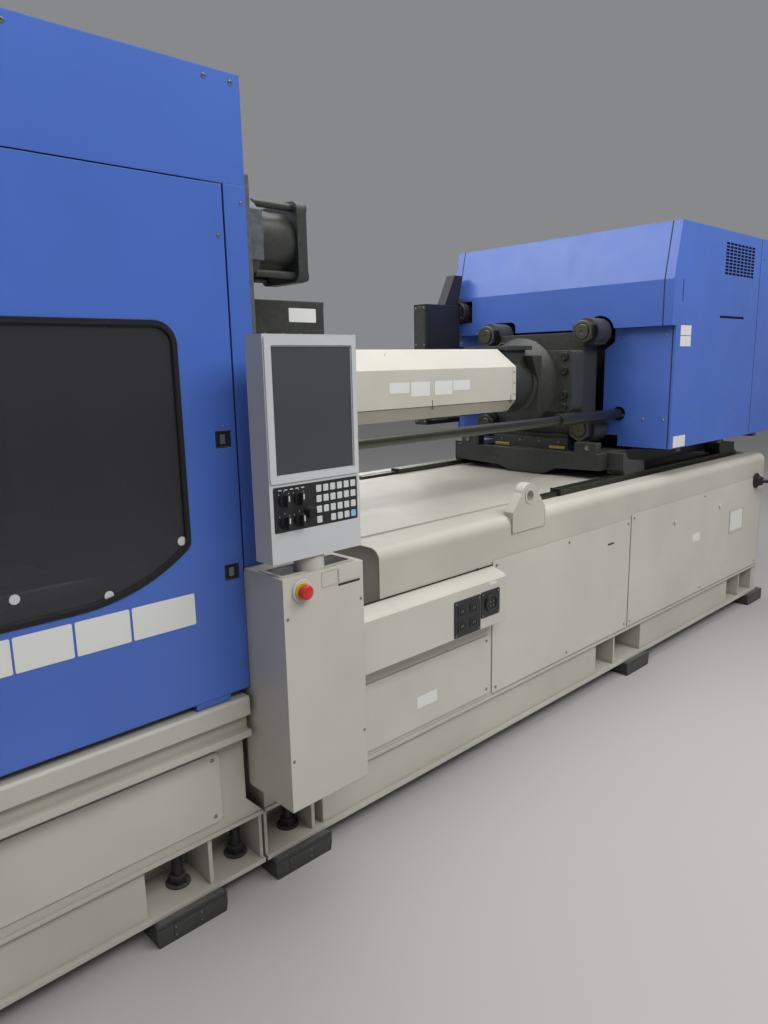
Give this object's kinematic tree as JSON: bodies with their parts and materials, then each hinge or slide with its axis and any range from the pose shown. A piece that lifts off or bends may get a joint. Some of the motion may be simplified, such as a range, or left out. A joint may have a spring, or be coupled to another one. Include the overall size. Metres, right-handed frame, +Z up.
{
  "type": "injection moulding machine",
  "caption": "Horizontal injection moulding machine: toggle clamp behind sliding gates, operator panel, and a hooded injection unit with barrel and screw on a raised bed.",
  "frame": {"origin": "centre of the footprint on the floor, under the lowest point of the wedge mounts", "axes": "+X from the clamp towards the injection unit, -Y is the operator side, +Z up"},
  "size_m": [7.2, 1.61, 2.146],
  "materials": {
    "blue_cover": "satin, lightly textured",
    "warm_grey_paint": "satin",
    "pale_grey_paint": "satin",
    "white_paint": "satin",
    "dark_casting": "painted casting, dull",
    "platen_paint": "painted casting with ground faces",
    "machined_steel": "ground and turned",
    "dark_bar": "turned, oiled and dark",
    "chromed_bar": "hard chromed",
    "black_steel": "satin black",
    "black_plastic": "matte",
    "red_plastic": "glossy",
    "panel_plastic": "matte",
    "screen_glass": "gloss black",
    "window_pane": "clear polycarbonate"
  },
  "bodies": {
    "frame": {"clamp_base": "warm_grey_paint", "injection_base": "warm_grey_paint", "leveling_wedges": "dark_casting", "leveling_bolts": "black_steel", "side_panels": "pale_grey_paint", "service_box": "pale_grey_paint", "control_pedestal": "pale_grey_paint", "lifting_lugs": "warm_grey_paint", "gate_rails": "warm_grey_paint", "stationary_platen": "platen_paint", "tie_bars": "chromed_bar", "tie_bar_nuts": "dark_casting", "nut_retainers": "dark_casting", "top_cover": "blue_cover", "gate_posts": "blue_cover", "clamp_hood": "blue_cover", "bed_deck": "warm_grey_paint", "carriage_rails": "dark_bar", "nozzle_touch_rods": "dark_bar"},
    "front_gate": {"operator_gate": "blue_cover", "gate_window": "window_pane"},
    "back_gate": {"rear_gate": "blue_cover", "rear_gate_window": "window_pane"},
    "rear_platen": {"rear_platen": "platen_paint", "die_height_nuts": "machined_steel", "clamp_motor": "black_steel"},
    "upper_levers": {"upper_levers": "machined_steel"},
    "lower_levers": {"lower_levers": "machined_steel"},
    "upper_links": {"upper_links": "machined_steel"},
    "lower_links": {"lower_links": "machined_steel"},
    "crosshead": {"crosshead": "platen_paint"},
    "upper_crosshead_links": {"upper_crosshead_links": "machined_steel"},
    "lower_crosshead_links": {"lower_crosshead_links": "machined_steel"},
    "clamp_screw": {"clamp_screw": "machined_steel"},
    "moving_platen": {"moving_platen": "platen_paint"},
    "ejector": {"ejector_plate": "machined_steel"},
    "injection_unit": {"carriage": "dark_casting", "feed_housing": "dark_casting", "barrel": "machined_steel", "heater_bands": "machined_steel", "nozzle": "machined_steel", "barrel_cover": "white_paint", "injection_tie_rods": "dark_bar", "rear_bearing_plate": "dark_casting", "injection_hood": "blue_cover", "lower_covers": "blue_cover", "junction_box": "black_steel", "injection_motor": "black_steel", "metering_motor": "black_steel"},
    "injection_plate": {"injection_plate": "dark_casting"},
    "plasticising_screw": {"plasticising_screw": "machined_steel"},
    "injection_ball_screw": {"injection_ball_screw": "machined_steel"},
    "purge_guard": {"purge_guard": "dark_casting"},
    "operator_panel": {"hmi_case": "panel_plastic", "hmi_screen": "screen_glass"},
    "selector_1": {"selector_switch_1": "black_plastic"},
    "selector_2": {"selector_switch_2": "black_plastic"},
    "selector_3": {"selector_switch_3": "black_plastic"},
    "selector_4": {"selector_switch_4": "black_plastic"},
    "stop_button": {"emergency_stop_button": "red_plastic"}
  },
  "joints": [
    {"name": "operator_gate_slide", "type": "slide", "parent": "frame", "child": "front_gate", "axis": [-1, 0, 0], "range_m": [0, 1.3]},
    {"name": "rear_gate_slide", "type": "slide", "parent": "frame", "child": "back_gate", "axis": [-1, 0, 0], "range_m": [0, 1.3]},
    {"name": "mould_height", "type": "slide", "parent": "frame", "child": "rear_platen", "axis": [1, 0, 0], "range_m": [-0.15, 0.25]},
    {"name": "clamp_toggle", "type": "hinge", "parent": "rear_platen", "child": "upper_levers", "pos_m": [-2.39805, 0.093, 1.832], "axis": [0, 1, 0], "range_deg": [0, 68]},
    {"name": "lower_lever", "type": "hinge", "parent": "rear_platen", "child": "lower_levers", "pos_m": [-2.39805, 0.093, 0.908], "axis": [0, 1, 0], "range_deg": [-68, 0]},
    {"name": "upper_link", "type": "hinge", "parent": "upper_levers", "child": "upper_links", "pos_m": [-1.99903, 0.093, 1.8041], "axis": [0, 1, 0], "range_deg": [-136, 0]},
    {"name": "lower_link", "type": "hinge", "parent": "lower_levers", "child": "lower_links", "pos_m": [-1.99903, 0.093, 0.9359], "axis": [0, 1, 0], "range_deg": [0, 136]},
    {"name": "platen_pin", "type": "hinge", "parent": "upper_links", "child": "moving_platen", "pos_m": [-1.6, 0.093, 1.832], "axis": [0, 1, 0], "range_deg": [0, 68]},
    {"name": "crosshead_slide", "type": "slide", "parent": "rear_platen", "child": "crosshead", "axis": [1, 0, 0], "range_m": [-0.168, 0]},
    {"name": "upper_drive_pin", "type": "hinge", "parent": "upper_levers", "child": "upper_crosshead_links", "pos_m": [-2.31417, 0.093, 1.70764], "axis": [0, 1, 0], "range_deg": [-68, 0]},
    {"name": "lower_drive_pin", "type": "hinge", "parent": "lower_levers", "child": "lower_crosshead_links", "pos_m": [-2.31417, 0.093, 1.03236], "axis": [0, 1, 0], "range_deg": [0, 68]},
    {"name": "clamp_screw_turn", "type": "hinge", "parent": "rear_platen", "child": "clamp_screw", "pos_m": [-2.53305, 0.093, 1.37], "axis": [1, 0, 0], "range_deg": [-1510.8, 0]},
    {"name": "ejector_stroke", "type": "slide", "parent": "moving_platen", "child": "ejector", "axis": [1, 0, 0], "range_m": [0, 0.15]},
    {"name": "unit_advance", "type": "slide", "parent": "frame", "child": "injection_unit", "axis": [-1, 0, 0], "range_m": [0, 0.43]},
    {"name": "injection_stroke", "type": "slide", "parent": "injection_unit", "child": "injection_plate", "axis": [1, 0, 0], "range_m": [0, 0.35]},
    {"name": "screw_turn", "type": "hinge", "parent": "injection_plate", "child": "plasticising_screw", "pos_m": [2.2, 0.093, 1.37], "axis": [1, 0, 0], "continuous": true},
    {"name": "injection_screw_turn", "type": "hinge", "parent": "injection_unit", "child": "injection_ball_screw", "pos_m": [3.14, 0.093, 1.37], "axis": [1, 0, 0], "range_deg": [0, 6301]},
    {"name": "purge_guard_hinge", "type": "hinge", "parent": "frame", "child": "purge_guard", "pos_m": [-0.098, 0.093, 1.67], "axis": [0, -1, 0], "range_deg": [0, 80]},
    {"name": "panel_swivel", "type": "hinge", "parent": "frame", "child": "operator_panel", "pos_m": [-0.2625, -0.73, 1], "axis": [0, 0, 1], "range_deg": [-20, 20]},
    {"name": "selector_1", "type": "hinge", "parent": "operator_panel", "child": "selector_1", "pos_m": [-0.364, -0.775, 1.157], "axis": [0, 1, 0], "range_deg": [-45, 45]},
    {"name": "selector_2", "type": "hinge", "parent": "operator_panel", "child": "selector_2", "pos_m": [-0.32, -0.775, 1.157], "axis": [0, 1, 0], "range_deg": [-45, 45]},
    {"name": "selector_3", "type": "hinge", "parent": "operator_panel", "child": "selector_3", "pos_m": [-0.364, -0.775, 1.103], "axis": [0, 1, 0], "range_deg": [-45, 45]},
    {"name": "selector_4", "type": "hinge", "parent": "operator_panel", "child": "selector_4", "pos_m": [-0.32, -0.775, 1.103], "axis": [0, 1, 0], "range_deg": [-45, 45]},
    {"name": "stop_press", "type": "slide", "parent": "frame", "child": "stop_button", "axis": [0, 1, 0], "range_m": [0, 0.004], "stiffness_N_per_m": 1500}
  ],
  "couplings": [
    {"joint": "lower_lever", "follows": "clamp_toggle", "ratio": -1},
    {"joint": "upper_link", "follows": "clamp_toggle", "ratio": -2},
    {"joint": "lower_link", "follows": "clamp_toggle", "ratio": 2},
    {"joint": "platen_pin", "follows": "clamp_toggle", "ratio": 1},
    {"joint": "crosshead_slide", "follows": "clamp_toggle", "m_per_rad": -0.14135},
    {"joint": "upper_drive_pin", "follows": "clamp_toggle", "ratio": -1},
    {"joint": "lower_drive_pin", "follows": "clamp_toggle", "ratio": 1},
    {"joint": "clamp_screw_turn", "follows": "clamp_toggle", "ratio": -22.203},
    {"joint": "injection_screw_turn", "follows": "injection_stroke", "rad_per_m": 314.16}
  ]
}
